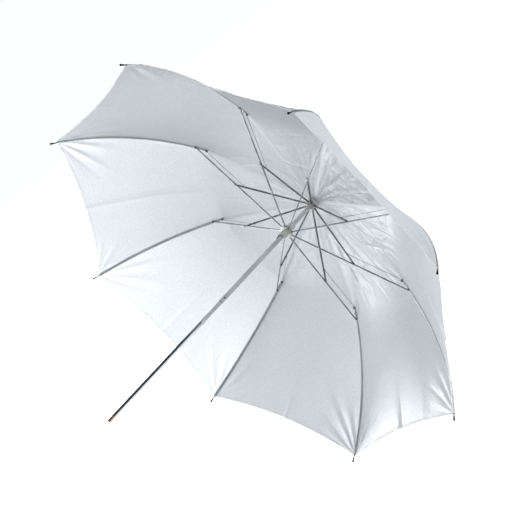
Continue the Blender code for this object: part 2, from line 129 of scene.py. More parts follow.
CROWN_PIN = pin("top_rib_1_hinge")
WIRE_PIN = pin("link_wire_1_hinge")
ELBOW_PIN = pin("outer_rib_1_hinge")
TOP_RIB_WAY = unit(WIRE_PIN - CROWN_PIN)
TAIL_PIN = ELBOW_PIN - TOP_RIB_WAY * TAIL
KNEE_PIN = WIRE_PIN + TOP_RIB_WAY * TAIL
SHAFT_WAY = np.array((0.0, 1.0, 0.0))


def rib_angle(number):
    """The angle of a rib round the shaft, from +Z towards +X."""
    return -HALF - PITCH * (number - 1)


def outwards(angle):
    return np.array((math.sin(angle), 0.0, math.cos(angle)))


def sideways(angle):
    return np.array((math.cos(angle), 0.0, -math.sin(angle)))


def on_rib(angle, point, x=0.0):
    """A point of a rib's plane, x to the side of it, in the model's axes."""
    return outwards(angle) * point[0] + SHAFT_WAY * point[1] + sideways(angle) * x


def smoothstep(value, low, high):
    t = np.clip((value - low) / (high - low), 0.0, 1.0)
    return t * t * (3 - 2 * t)


def path_normals(path):
    """The direction towards the outside of the cloth at each point of a path in a rib's plane."""
    way = np.gradient(path, axis=0)
    way /= np.linalg.norm(way, axis=1, keepdims=True)
    return np.stack([-way[:, 1], way[:, 0]], axis=1)


def bow_points(shares):
    """Points of the outer rib from its elbow pin (share 0) to its tip (share 1)."""
    chord = RIB_TIP - ELBOW_PIN
    control = ELBOW_PIN + chord * BOW_SHARE + unit(np.array((-chord[1], chord[0]))) * BOW
    t = shares[:, None]
    return ELBOW_PIN * (1 - t) ** 2 + control * 2 * t * (1 - t) + RIB_TIP * t ** 2


# ---- the line that the cloth follows over a rib --------------------------------------------------
def cloth_line():
    """Points of the cloth over a rib, from the crown to the rim, and the length up to each."""
    tail = TAIL_PIN + (ELBOW_PIN - TAIL_PIN) * np.linspace(0, 0.9, 8)[:, None]
    rib = np.concatenate([tail, bow_points(np.linspace(0, 1 - HEM_SETBACK, 80))])
    over = rib + path_normals(rib) * CLOTH_LIFT
    flat = np.array(CLAMP)
    loose = flat[1] + (over[0] - flat[1]) * np.linspace(0, 1, 30)[1:-1, None]
    line = np.concatenate([flat, loose, over])
    steps = np.linalg.norm(np.diff(line, axis=0), axis=1)
    return line, np.concatenate([[0.0], np.cumsum(steps)]), len(flat) + len(loose)


LINE, ALONG, TAIL_INDEX = cloth_line()
TAIL_S = ALONG[TAIL_INDEX]
RIM_S = ALONG[-1]
CLAMP_S = ALONG[1]


def line_at(s):
    """The cloth's line at lengths s from its inner edge: r and y."""
    return np.interp(s, ALONG, LINE[:, 0]), np.interp(s, ALONG, LINE[:, 1])


def soft_line(reach):
    """The same line with its bend at the ribs' tails rounded off, as it is between two ribs."""
    step = 0.002
    s = np.arange(0.0, RIM_S + reach * 3, step)
    ends = np.arange(-reach * 3, 0.0, step)
    r, y = line_at(s)
    rim_way = (LINE[-1] - LINE[-4]) / (ALONG[-1] - ALONG[-4])
    beyond = np.maximum(s - RIM_S, 0.0)
    r, y = r + rim_way[0] * beyond, y + rim_way[1] * beyond
    weights = np.exp(-(ends[:, None] ** 2) / reach ** 2).ravel()
    weights = np.concatenate([weights, [1.0], weights[::-1]])
    pad = len(weights) // 2
    soft = [np.convolve(np.pad(values, pad, mode="reflect", reflect_type="odd"), weights, "valid")
            / weights.sum() for values in (r, y)]
    return s, soft[0], soft[1]


SOFT_S, SOFT_R, SOFT_Y = soft_line(SOFTENING)


def cloth_at(s, v):
    """The cloth at length s and share v from a panel's middle (0) to its ribs (-1 and 1)."""
    r, y = line_at(s)
    between = 1 - v * v
    return (r + (np.interp(s, SOFT_S, SOFT_R) - r) * between,
            y + (np.interp(s, SOFT_S, SOFT_Y) - y) * between)


def strip_normal(s):
    """The outward normal of the flat strip between two ribs, as its parts along r and y."""
    step = 0.004
    r0, y0 = np.interp(s - step, SOFT_S, SOFT_R), np.interp(s - step, SOFT_S, SOFT_Y)
    r1, y1 = np.interp(s + step, SOFT_S, SOFT_R), np.interp(s + step, SOFT_S, SOFT_Y)
    dr, dy = (r1 - r0) * math.cos(HALF), y1 - y0
    size = np.hypot(dr, dy)
    return -dy / size, dr / size


# ---- folds and creases of the cloth --------------------------------------------------------------
# Places on a panel: p across it from its middle, s along it from the crown, both in metres.
LOOSENESS = (0.8, 0.7, 0.7, 0.8, 0.9, 1.4, 1.5, 1.0)    # of each panel's cloth near the crown
LONG_CREASE = (0.0, 0.9, 0.3, 0.0, 0.0, 0.5, 0.3, 0.2)  # share of each outer panel it runs up
TIP_PULL = (1.2, 1.3, 1.6, 0.8, 1.6, 0.9, 0.8, 0.7)     # strength of the folds at each rib's tip
TIP_FOLDS = ((14.0, 0.0022), (21.0, -0.0020), (29.0, 0.0032), (38.0, -0.0020), (48.0, 0.0019),
             (58.0, -0.0011), (70.0, 0.0009))           # degrees from the rib, and heights
HEM_FOLDS = 9
LOOSE_FOLDS = 38
CRUMPLE_SITES = 24


def tip_folds(p, s, side, pull, rng):
    """Folds that fan out from a rib's tip, where the rib and the rim stretch the cloth."""
    half_width = line_at(RIM_S)[0] * math.sin(HALF)
    inwards = half_width - side * p
    upwards = RIM_S - s
    far = np.hypot(inwards, upwards)
    lean = np.degrees(np.arctan2(inwards, upwards))
    height = np.zeros_like(p)
    for centre, rise in TIP_FOLDS:
        centre += rng.uniform(-2.0, 2.0)
        spread = rng.uniform(2.6, 4.2)
        reach = rng.uniform(0.026, 0.046)
        rise *= rng.uniform(0.7, 1.3)
        swell = (far / reach * np.exp(1 - far / reach)) ** 2
        height += rise * swell * np.exp(-((lean - centre) / spread) ** 2)
    return height * pull


def storage_creases(p, s, share, rng):
    """Sharp creases up the middle of a panel, left by the folded umbrella's strap."""
    height = np.zeros_like(p)
    outer = RIM_S - TAIL_S
    places = [(rng.uniform(-0.003, 0.003), 0.34 + share, 0.00130),
              (rng.uniform(0.007, 0.012), 0.22 + share * 0.8, -0.00090),
              (-rng.uniform(0.008, 0.014), 0.18 + share * 0.3, 0.00070)]
    for place, length, rise in places:
        start = RIM_S - outer * min(length, 1.1)
        fade = smoothstep(s, start, start + 0.10)
        drift = (RIM_S - s) * rng.uniform(-0.05, 0.05)
        far = np.abs(p - place - drift)
        height += rise * fade * (np.exp(-far / 0.0036) + 1.1 * np.exp(-far / 0.016))
    return height


def hem_folds(p, s, rng):
    """Short folds that run in from the sewn rim."""
    height = np.zeros_like(p)
    width = line_at(RIM_S)[0] * math.sin(HALF)
    for _ in range(HEM_FOLDS):
        p0 = rng.uniform(-0.85, 0.85) * width
        lean = rng.normal(0.0, 0.35)
        length = rng.uniform(0.012, 0.040)
        across = (p - p0) - (RIM_S - s) * lean
        rise = rng.choice((-1.0, 1.0)) * rng.uniform(0.0005, 0.0012)
        height += rise * np.exp(-(across / rng.uniform(0.003, 0.006)) ** 2 - (RIM_S - s) / length)
    return height


def loose_folds(p, s, looseness, rng):
    """Fine creases of the cloth that hangs free between the crown and the ribs' tails."""
    height = np.zeros_like(p)
    for count in range(LOOSE_FOLDS):
        s0 = rng.uniform(0.03, TAIL_S + 0.02)
        p0 = rng.uniform(-0.95, 0.95) * line_at(s0)[0] * math.sin(HALF)
        lean = math.atan2(p0, s0) + rng.normal(0.0, 0.12 if count % 3 else 0.9)
        length = rng.uniform(0.020, 0.080)
        width = rng.uniform(0.0018, 0.0038)
        rise = rng.choice((-1.0, 1.0)) * width * rng.uniform(0.10, 0.24)
        across = (p - p0) * math.cos(lean) - (s - s0) * math.sin(lean)
        onwards = (p - p0) * math.sin(lean) + (s - s0) * math.cos(lean)
        across = across + 2.0 * onwards ** 2 * rng.uniform(-1, 1)
        ridge = np.exp(-(across / width) ** 2) + 0.4 * np.exp(-np.abs(across) / width)
        height += rise * ridge * np.exp(-(onwards / length) ** 2)
    height += crumples(p, s, rng) * max(looseness - 0.6, 0.1)
    gather = np.cos(p / np.maximum(line_at(s)[0], 1e-4) * 34 + rng.uniform(0, 6))
    height += 0.0009 * gather * np.exp(-np.abs(s - 0.05) / 0.030)
    mask = smoothstep(s, CLAMP_S + 0.002, 0.035) * (1 - smoothstep(s, TAIL_S - 0.02, TAIL_S + 0.035))
    return height * mask * looseness


def crumples(p, s, rng):
    """Facets with sharp creases between them, as in cloth that has been crushed."""
    across = rng.uniform(-0.085, 0.085, CRUMPLE_SITES)
    along = rng.uniform(0.03, TAIL_S, CRUMPLE_SITES)
    sites = np.stack([across, along], axis=1)
    away = np.sort(np.hypot(p[..., None] - sites[:, 0], s[..., None] - sites[:, 1]), axis=-1)
    return 0.0010 * (1 - np.exp(-(away[..., 1] - away[..., 0]) / 0.0050))


def slow_waves(p, s, rng):
    """Wide shallow waves over a whole panel."""
    height = 0.0005 * np.sin(s * rng.uniform(22, 30) + p * rng.uniform(-16, 16) + rng.uniform(0, 6))
    height += 0.0003 * np.sin(p * rng.uniform(50, 70) + s * rng.uniform(-9, 9) + rng.uniform(0, 6))
    height += 0.0002 * np.sin(p * rng.uniform(120, 150) + rng.uniform(0, 6)) * smoothstep(s, 0.35, RIM_S)
    return height * smoothstep(s, 0.02, 0.12)


# ---- a panel of cloth ------------------------------------------------------------------------------
def half_columns(width):
    """Distances from the rib of a half panel's columns, fine at the seam and at the middle."""
    seam = SEAM_COLUMNS * min(1.0, width / SEAM_FULL)
    middle = MIDDLE_COLUMNS * min(1.0, width / MIDDLE_FULL)
    field = np.linspace(seam[-1], width - middle[-1], FIELD_COLUMNS + 2)[1:-1]
    return np.concatenate([seam, field, (width - middle)[::-1]])


def panel_rows():
    return np.concatenate([np.linspace(0, TAIL_S, INNER_ROWS), np.linspace(TAIL_S, RIM_S, OUTER_ROWS)[1:]])


def panel(number):
    """The grid of one panel, between rib number and the next: points, normals and flat places."""
    rng = np.random.default_rng(FIRST_SEED + number)
    middle = rib_angle(number) - HALF
    rows = panel_rows()
    shares = []
    for s in rows:
        width = line_at(s)[0] * math.sin(HALF)
        share = 1 - half_columns(width) / width
        shares.append(np.concatenate([-share, share[-2::-1]]))
    v = np.array(shares)
    cut_back = SCALLOP * smoothstep(rows, TAIL_S + 0.05, RIM_S + 0.03)[:, None] / smoothstep(
        RIM_S, TAIL_S + 0.05, RIM_S + 0.03)
    s = rows[:, None] - cut_back * (1 - v * v)
    r, y = cloth_at(s, v)
    p = v * r * math.sin(HALF)
    from_rib = (1 - np.abs(v)) * r * math.sin(HALF)
    height = tip_folds(p, s, 1, TIP_PULL[number - 1], rng)
    height += tip_folds(p, s, -1, TIP_PULL[number % RIBS], rng)
    height += storage_creases(p, s, LONG_CREASE[number - 1], rng)
    height += loose_folds(p, s, LOOSENESS[number - 1], rng)
    height += slow_waves(p, s, rng)
    height += hem_folds(p, s, rng)
    height *= 1 - np.exp(-(from_rib / TAUT) ** 2)
    height -= SAG * np.sin(math.pi * (s / RIM_S) ** 2) * (1 - v * v)
    out_r, out_y = strip_normal(s)
    reach = r * math.cos(HALF) + height * out_r
    points = (p[..., None] * sideways(middle) + (y + height * out_y)[..., None] * SHAFT_WAY
              + reach[..., None] * outwards(middle))
    normals = np.cross(np.gradient(points, axis=1), np.gradient(points, axis=0))
    normals /= np.maximum(np.linalg.norm(normals, axis=2, keepdims=True), 1e-12)
    if (normals @ SHAFT_WAY).sum() < 0:
        normals = -normals
    return {"points": points, "normals": normals, "flat": np.stack([p, s], axis=2)}


# ---- meshes ----------------------------------------------------------------------------------------
def mesh_object(name, points, faces, material, smooth=True):
    mesh = bpy.data.meshes.new(name)
    mesh.from_pydata([tuple(point) for point in points], [], [tuple(face) for face in faces])
    mesh.materials.append(material)
    mesh.polygons.foreach_set("use_smooth", [smooth] * len(mesh.polygons))
    obj = bpy.data.objects.new(name, mesh)
    bpy.context.scene.collection.objects.link(obj)
    return obj


def grid_object(name, grid, rows, columns, material):
    """Part of a panel's grid as a sheet, with the whole panel's normals and its flat places as UVs."""
    points = grid["points"][rows, columns]
    count = points.shape[1]
    numbers = np.arange(points.shape[0] * count).reshape(points.shape[:2])
    faces = np.stack([numbers[:-1, :-1], numbers[:-1, 1:], numbers[1:, 1:], numbers[1:, :-1]], axis=-1)
    faces = faces.reshape(-1, 4)
    normals = grid["normals"][rows, columns].reshape(-1, 3)
    flat = points.reshape(-1, 3)
    first = flat[faces[len(faces) // 2]]
    if np.cross(first[1] - first[0], first[3] - first[0]) @ normals[faces[len(faces) // 2][0]] < 0:
        faces = faces[:, ::-1]
    obj = mesh_object(name, flat, faces, material)
    layer = obj.data.uv_layers.new(name="cut")
    corners = np.zeros(len(obj.data.loops), int)
    obj.data.loops.foreach_get("vertex_index", corners)
    places = grid["flat"][rows, columns].reshape(-1, 2)[corners]
    layer.data.foreach_set("uv", places.astype(np.float32).ravel())
    obj.data.normals_split_custom_set_from_vertices(normals)
    return obj


def swept(path, sides, ups, section):
    """A tube along a path: its section's points (a, b) lie a along sides and b along ups."""
    rings = [[point + side * a + up * b for a, b in section] for point, side, up in zip(path, sides, ups)]
    count = len(section)
    faces = []
    for n in range(len(rings) - 1):
        for m in range(count):
            a, b = n * count + m, n * count + (m + 1) % count
            faces.append((a, b, b + count, a + count))
    faces.append(tuple(range(count))[::-1])
    faces.append(tuple(range((len(rings) - 1) * count, len(rings) * count)))
    return [point for one in rings for point in one], faces


def ribbon(path, sides, width):
    """A single strip of cloth along a path, on one side of it."""
    points = [point for place, side in zip(path, sides) for point in (place, place + side * width)]
    faces = [(n, n + 1, n + 3, n + 2) for n in range(0, len(points) - 2, 2)]
    return points, faces


def merged(shapes):
    """Several (points, faces) as one."""
    points, faces = [], []
    for more_points, more_faces in shapes:
        start = len(points)
        points.extend(more_points)
        faces.extend(tuple(n + start for n in face) for face in more_faces)
    return points, faces


def strip_section(width, thickness):
    """A flat strip with softened edges, from 0 to width along its side."""
    t, edge = thickness / 2, thickness / 3
    return [(0, -t + edge), (edge, -t), (width - edge, -t), (width, -t + edge),
            (width, t - edge), (width - edge, t), (edge, t), (0, t - edge)]


def stitch(place, way, side, up):
    """One stitch: a small spindle."""
    length, width, height = STITCH
    points = [place - way * length / 2, place + side * width / 2, place + up * height / 2,
              place - side * width / 2, place - up * height / 2, place + way * length / 2]
    faces = [(0, 2, 1), (0, 3, 2), (0, 4, 3), (0, 1, 4), (5, 1, 2), (5, 2, 3), (5, 3, 4), (5, 4, 1)]
    return points, faces


def stitches(path, sides, ups, offset, lift):
    """A row of stitches along a path, offset to its side and lifted to both faces of the cloth."""
    steps = np.concatenate([[0.0], np.cumsum(np.linalg.norm(np.diff(path, axis=0), axis=1))])
    made = []
    for s in np.arange(STITCH_PITCH / 2, steps[-1], STITCH_PITCH):
        place, side, up = (np.array([np.interp(s, steps, values[:, k]) for k in range(3)])
                           for values in (path, sides, ups))
        side, up = unit(side), unit(up)
        way = np.cross(side, up)
        for face in (-1, 1):
            made.append(stitch(place + side * offset + up * lift * face, way, side, up))
    return made


# ---- materials ---------------------------------------------------------------------------------------
def new_material(name, colour, roughness, metallic=0.0, **sockets):
    mat = bpy.data.materials.new(name)
    mat.use_nodes = True
    shader = mat.node_tree.nodes["Principled BSDF"]
    shader.inputs["Base Color"].default_value = (*colour, 1.0)
    shader.inputs["Roughness"].default_value = roughness
    shader.inputs["Metallic"].default_value = metallic
    for socket, value in sockets.items():
        shader.inputs[socket.replace("_", " ")].default_value = value
    return mat, mat.node_tree, shader


def add_node(tree, kind, **inputs):
    made = tree.nodes.new(kind)
    for name, value in inputs.items():
        made.inputs[name.replace("_", " ")].default_value = value
    return made


def stretched_noise(tree, scale, detail, stretch=(1, 1, 1), roughness=0.5):
    """Noise over the object, drawn out along the axes."""
    place = tree.nodes.new("ShaderNodeTexCoord")
    mapping = add_node(tree, "ShaderNodeMapping", Scale=stretch)
    texture = add_node(tree, "ShaderNodeTexNoise", Scale=scale, Detail=detail, Roughness=roughness)
    tree.links.new(place.outputs["Object"], mapping.inputs["Vector"])
    tree.links.new(mapping.outputs["Vector"], texture.inputs["Vector"])
    return texture.outputs["Fac"]


def ranged(tree, value, low, high, start=0.35, end=0.65):
    """A number that goes from low to high as value goes from start to end."""
    made = tree.nodes.new("ShaderNodeMapRange")
    for name, number in (("From Min", start), ("From Max", end), ("To Min", low), ("To Max", high)):
        made.inputs[name].default_value = number
    tree.links.new(value, made.inputs["Value"])
    return made.outputs["Result"]


def blended(tree, factor, first, second):
    made = tree.nodes.new("ShaderNodeMix")
    made.data_type = "RGBA"
    made.inputs["A"].default_value = (*first, 1.0)
    made.inputs["B"].default_value = (*second, 1.0)
    tree.links.new(factor, made.inputs["Factor"])
    return made.outputs["Result"]


def scaled(tree, strength, colour):
    """A colour multiplied by a number."""
    made = tree.nodes.new("ShaderNodeVectorMath")
    made.operation = "SCALE"
    tree.links.new(colour, made.inputs["Vector"])
    tree.links.new(strength, made.inputs["Scale"])
    return made.outputs["Vector"]


def bumped(tree, heights):
    """A normal from several (height, strength, distance)."""
    normal = None
    for height, strength, distance in heights:
        made = add_node(tree, "ShaderNodeBump", Strength=strength, Distance=distance)
        tree.links.new(height, made.inputs["Height"])
        if normal is not None:
            tree.links.new(normal, made.inputs["Normal"])
        normal = made.outputs["Normal"]
    return normal


WAVE_LENGTH = 0.314              # of the wave texture at scale 1


def weave(tree, pitch):
    """The height of crossing threads, from the flat places kept as UVs."""
    place = tree.nodes.new("ShaderNodeUVMap")
    place.uv_map = "cut"
    waves = []
    for direction in ("X", "Y"):
        wave = add_node(tree, "ShaderNodeTexWave", Scale=WAVE_LENGTH / pitch)
        wave.bands_direction = direction
        tree.links.new(place.outputs["UV"], wave.inputs["Vector"])
        waves.append(wave.outputs["Fac"])
    crossed = tree.nodes.new("ShaderNodeMath")
    crossed.operation = "MULTIPLY"
    tree.links.new(waves[0], crossed.inputs[0])
    tree.links.new(waves[1], crossed.inputs[1])
    return crossed.outputs["Value"]


SATIN_SHARE = 0.45               # how much of the light goes through the cloth, in each of its forms
SEAM_SHARE = 0.12
HEM_SHARE = 0.72


def satin(name, deep, pale):
    """Thin white satin that lets light through, with painted light that makes its cloth near the crown paler."""
    mat, tree, shader = new_material(name, pale, 0.36,
                                     Specular_IOR_Level=0.7, Coat_Weight=0.32, Coat_Roughness=0.36,
                                     Sheen_Weight=0.12, Sheen_Roughness=0.35)
    clouds = stretched_noise(tree, 7.0, 4.0)
    grain = stretched_noise(tree, 520.0, 2.0)
    place = tree.nodes.new("ShaderNodeUVMap")
    place.uv_map = "cut"
    apart = tree.nodes.new("ShaderNodeSeparateXYZ")
    tree.links.new(place.outputs["UV"], apart.inputs["Vector"])
    # painted light: the base colour is up to 14% paler on the loose cloth near the crown and 2% darker on the
    # outer panels, standing in for the extra light that falls inside the ribs' tails
    loose = ranged(tree, apart.outputs["Y"], 1.14, 0.98, TAIL_S - 0.08, TAIL_S + 0.05)
    cloudy = scaled(tree, loose, blended(tree, ranged(tree, clouds, 0, 1), deep, pale))
    colour = scaled(tree, ranged(tree, grain, 0.90, 1.05), cloudy)
    tree.links.new(colour, shader.inputs["Base Color"])
    tree.links.new(ranged(tree, stretched_noise(tree, 55.0, 3.0), 0.29, 0.40), shader.inputs["Roughness"])
    normal = bumped(tree, [(stretched_noise(tree, 95.0, 4.0), 0.30, 0.0006),
                           (stretched_noise(tree, 700.0, 2.0), 0.30, 0.00008),
                           (weave(tree, 0.0006), 0.25, 0.00006)])
    tree.links.new(normal, shader.inputs["Normal"])
    through = let_light_through(mat, pale, SATIN_SHARE)
    tree.links.new(colour, through.inputs["Color"])
    tree.links.new(normal, through.inputs["Normal"])
    return mat


def folded_cloth(name, share):
    """The same satin where it is folded and sewn, painted paler than the satin as painted light on the doubled
    cloth; share is how much light it lets through.
    """
    # painted light: near white, paler than the satin it is made of, so that the hems and seams look lit
    mat, tree, shader = new_material(name, (0.97, 0.972, 0.976), 0.5, Sheen_Weight=0.2)
    grain = stretched_noise(tree, 900.0, 2.0)
    tree.links.new(blended(tree, ranged(tree, grain, 0, 1), (0.95, 0.955, 0.965), (0.985, 0.985, 0.985)),
                   shader.inputs["Base Color"])
    tree.links.new(bumped(tree, [(grain, 0.5, 0.0002)]), shader.inputs["Normal"])
    let_light_through(mat, (0.97, 0.975, 0.98), share)
    return mat


def let_light_through(mat, colour, share):
    """Mix a material's surface with cloth that glows when it is lit from behind."""
    tree = mat.node_tree
    through = add_node(tree, "ShaderNodeBsdfTranslucent", Color=(*colour, 1.0))
    mix = add_node(tree, "ShaderNodeMixShader", Fac=share)
    tree.links.new(tree.nodes["Principled BSDF"].outputs["BSDF"], mix.inputs[1])
    tree.links.new(through.outputs["BSDF"], mix.inputs[2])
    tree.links.new(mix.outputs["Shader"], tree.nodes["Material Output"].inputs["Surface"])
    return through


def sewing_thread():
    mat, tree, shader = new_material("white_thread", (0.90, 0.90, 0.89), 0.65, Sheen_Weight=0.3)
    twist = stretched_noise(tree, 1400.0, 1.0)
    tree.links.new(blended(tree, ranged(tree, twist, 0, 1), (0.80, 0.80, 0.79), (0.93, 0.93, 0.92)),
                   shader.inputs["Base Color"])
    tree.links.new(bumped(tree, [(twist, 0.6, 0.0002)]), shader.inputs["Normal"])
    return mat


def worn_steel(name, light, dark, rough, metallic=1.0):
    """Rolled steel with a dull film that is thicker in places, and fine scratches."""
    mat, tree, shader = new_material(name, light, rough, metallic)
    film = stretched_noise(tree, 60.0, 5.0, roughness=0.6)
    tree.links.new(blended(tree, ranged(tree, film, 0, 1), light, dark), shader.inputs["Base Color"])
    tree.links.new(ranged(tree, film, rough - 0.06, rough + 0.12), shader.inputs["Roughness"])
    scratches = stretched_noise(tree, 900.0, 2.0)
    tree.links.new(bumped(tree, [(scratches, 0.25, 0.00005)]), shader.inputs["Normal"])
    return mat


def drawn_tube():
    """Bright tube with the fine lines of drawing along it."""
    light, dark = (0.80, 0.80, 0.81), (0.62, 0.62, 0.64)
    mat, tree, shader = new_material("drawn_tube", light, 0.14, 1.0)
    lines = stretched_noise(tree, 900.0, 3.0, (1.0, 0.012, 1.0))
    film = stretched_noise(tree, 26.0, 4.0, (1.0, 0.35, 1.0))
    tree.links.new(blended(tree, ranged(tree, film, 0, 1), light, dark), shader.inputs["Base Color"])
    tree.links.new(ranged(tree, lines, 0.09, 0.24), shader.inputs["Roughness"])
    tree.links.new(bumped(tree, [(lines, 0.22, 0.00006)]), shader.inputs["Normal"])
    return mat


def turned_brass():
    light, dark = (0.95, 0.78, 0.64), (0.74, 0.55, 0.40)
    mat, tree, shader = new_material("turned_brass", light, 0.28, 1.0)
    rings = stretched_noise(tree, 1400.0, 2.0, (0.02, 1.0, 0.02))
    tarnish = stretched_noise(tree, 240.0, 4.0)
    tree.links.new(blended(tree, ranged(tree, tarnish, 0, 1), light, dark), shader.inputs["Base Color"])
    tree.links.new(ranged(tree, tarnish, 0.22, 0.42), shader.inputs["Roughness"])
    tree.links.new(bumped(tree, [(rings, 0.35, 0.00006)]), shader.inputs["Normal"])
    return mat


def ivory_nylon():
    mat, tree, shader = new_material("ivory_nylon", (0.90, 0.88, 0.80), 0.42)
    age = stretched_noise(tree, 90.0, 4.0)
    tree.links.new(blended(tree, ranged(tree, age, 0, 1), (0.92, 0.90, 0.82), (0.84, 0.81, 0.71)),
                   shader.inputs["Base Color"])
    tree.links.new(ranged(tree, age, 0.36, 0.52), shader.inputs["Roughness"])
    tree.links.new(bumped(tree, [(stretched_noise(tree, 1100.0, 2.0), 0.25, 0.00008)]),
                   shader.inputs["Normal"])
    return mat


def make_materials():
    return {
        "cloth": satin("white_satin", (0.783, 0.809, 0.840), (0.812, 0.833, 0.857)),
        "seam": folded_cloth("seam_satin", SEAM_SHARE),
        "hem": folded_cloth("hem_satin", HEM_SHARE),
        "thread": sewing_thread(),
        "rib_steel": worn_steel("rib_steel", (0.40, 0.40, 0.41), (0.25, 0.25, 0.25), 0.58),
        # painted reflection: the bows' bright steel is near white and only partly metallic, so that it shows the
        # white of the cloth round it as its own colour
        "bow_steel": worn_steel("bow_steel", (0.96, 0.955, 0.94), (0.84, 0.835, 0.82), 0.34, 0.35),
        "ring_wire": worn_steel("ring_wire", (0.52, 0.53, 0.55), (0.34, 0.34, 0.35), 0.30),
        "spring": worn_steel("spring_steel", (0.16, 0.16, 0.17), (0.08, 0.08, 0.08), 0.38),
        "joint": worn_steel("joint_steel", (0.20, 0.20, 0.21), (0.10, 0.10, 0.10), 0.42),
        "cap": worn_steel("cap_steel", (0.07, 0.07, 0.07), (0.04, 0.04, 0.04), 0.42),
        "shaft": drawn_tube(),
        "brass": turned_brass(),
        "plastic": ivory_nylon(),
    }


def fold_with_rib(obj, body):
    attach(obj, body)
    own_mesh(obj)


def flat_cut(inner):
    """The width, length and area of a half gore's flat cut, from the line over the rib."""
    low, high = (0.0, TAIL_S) if inner else (TAIL_S, RIM_S)
    s = np.linspace(low, high, 200)
    widths = line_at(s)[0] * math.sin(HALF)
    area = float(((widths[1:] + widths[:-1]) / 2 * np.diff(s)).sum())
    if not inner:
        area -= SCALLOP * widths[-1] * 2 / 3
    return round(float(widths.max()), 3), round(high - low, 3), round(area, 5)


def hem_piece(name, grid, columns, mats):
    """The rim turned over and sewn: a strip along the edge with a row of stitches."""
    edge = grid["points"][-1, columns]
    before = grid["points"][-2, columns]
    ups = grid["normals"][-1, columns]
    sides = before - edge
    sides -= ups * (sides * ups).sum(axis=1, keepdims=True)
    sides /= np.linalg.norm(sides, axis=1, keepdims=True)
    edge = edge - sides * HEM_T / 2
    strip = swept(edge, sides, ups, strip_section(HEM_W, HEM_T))
    sewn = stitches(edge, sides, ups, HEM_W * HEM_STITCHED, HEM_T / 2)
    return sewn_object(name, strip, merged(sewn), mats["hem"], mats["thread"])


def sewn_object(name, body, sewn, cloth_material, thread_material):
    """A sewn strip with its stitches, as one piece with the cloth and the thread."""
    points, faces = merged([body, sewn])
    obj = mesh_object(name, points, faces, cloth_material, smooth=False)
    obj.data.materials.append(thread_material)
    for face in obj.data.polygons[len(body[1]):]:
        face.material_index = 1
    return obj


def seam_piece(name, angle, side, low, high, mats):
    """The seam on one side of a rib: the allowance turned under the gore, with a row of stitches."""
    s = np.linspace(low, high, 60)
    r, y = line_at(s)
    path = np.array([on_rib(angle, point) for point in zip(r, y)])
    ways = np.gradient(path, axis=0)
    ways /= np.linalg.norm(ways, axis=1, keepdims=True)
    across = sideways(angle + side * HALF) * side
    sides = across - ways * (ways @ across)[:, None]
    sides /= np.linalg.norm(sides, axis=1, keepdims=True)
    ups = np.cross(sides, ways) * -side
    allowance = ribbon(path - ups * SEAM_GAP, sides, SEAM_W)
    sewn = stitches(path, sides, ups, SEAM_W * SEAM_STITCHED, SEAM_GAP)
    return sewn_object(name, allowance, merged(sewn), mats["seam"], mats["thread"])


def make_cloth(mats):
    grids = [panel(number) for number in range(1, RIBS + 1)]
    middle = grids[0]["points"].shape[1] // 2
    inner_rows, outer_rows = slice(0, INNER_ROWS), slice(INNER_ROWS - 1, -1)
    for number in range(1, RIBS + 1):
        angle = rib_angle(number)
        # the rib is the left edge of one panel and the right edge of the next one round
        for hand, grid, columns, side in (
                ("left", grids[number - 1], slice(middle, None), -1),
                ("right", grids[number - 2], slice(0, middle + 1), 1)):
            for part, rows in (("inner", inner_rows), ("outer", outer_rows)):
                inner = part == "inner"
                low, high = (CLAMP_S, TAIL_S) if inner else (TAIL_S, RIM_S - HEM_W)
                body = f"inner_cloth_{number}" if inner else f"outer_rib_{number}"
                gore = grid_object(f"{part}_gore_{number}_{hand}", grid, rows, columns, mats["cloth"])
                fold_with_rib(gore, body)
                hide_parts(f"{part}_cloth_{number}")
                seam = seam_piece(f"{part}_seam_{number}_{hand}", angle, side, low, high, mats)
                fold_with_rib(seam, body)
                if not inner:
                    hem = hem_piece(f"hem_{number}_{hand}", grid, columns, mats)
                    fold_with_rib(hem, body)
                width, length, area = flat_cut(inner)


# ---- steel -------------------------------------------------------------------------------------------
def channel_section():
    """The outline of a folded channel, open towards the shaft: x to the side, y outwards."""
    right = folded_edge(CHANNEL_HALF, FOLD_R, (0, 30, 60, 90))
    under = folded_edge(CHANNEL_HALF - GAUGE, FOLD_R - GAUGE, (0, 45, 90))
    left = [(-x, y) for x, y in reversed(right)]
    under_left = [(-x, y) for x, y in under]
    return right + left + under_left + list(reversed(under))


def folded_edge(reach, rounding, degrees):
    """One side of a channel from its lip up to its fold, at reach from the middle."""
    points = [(reach, CHANNEL_LIP)]
    for turn in np.radians(degrees):
        points.append((reach - rounding * (1 - math.cos(turn)), reach - rounding * (1 - math.sin(turn))))
    return points


def rounded_rod(path, sides, ups, radius, segments=10):
    turns = np.linspace(0, math.tau, segments, endpoint=False)
    return swept(path, sides, ups, [(radius * math.cos(a), radius * math.sin(a)) for a in turns])


def turned(centre, axis, profile):
    """A solid turned round an axis: profile holds places along it from the centre, and radii."""
    segments = TURNED_SIDES
    first = unit(np.cross(axis, np.array(OFF_AXIS)))
    second = np.cross(axis, first)
    turns = [math.tau * m / segments for m in range(segments)]
    points = [centre + axis * along + (first * math.cos(a) + second * math.sin(a)) * radius
              for along, radius in profile for a in turns]
    faces = []
    for n in range(len(profile) - 1):
        for m in range(segments):
            a, b = n * segments + m, n * segments + (m + 1) % segments
            faces.append((a, b, b + segments, a + segments))
    faces.append(tuple(range(segments))[::-1])
    faces.append(tuple(range(len(points) - segments, len(points))))
    return points, faces


def bow_frames(angle, path):
    """Points, side and outward directions of a path in a rib's plane."""
    points = np.array([on_rib(angle, point) for point in path])
    ups = np.array([on_rib(angle, normal) for normal in path_normals(path)])
    sides = np.tile(sideways(angle), (len(points), 1))
    return points, sides, ups


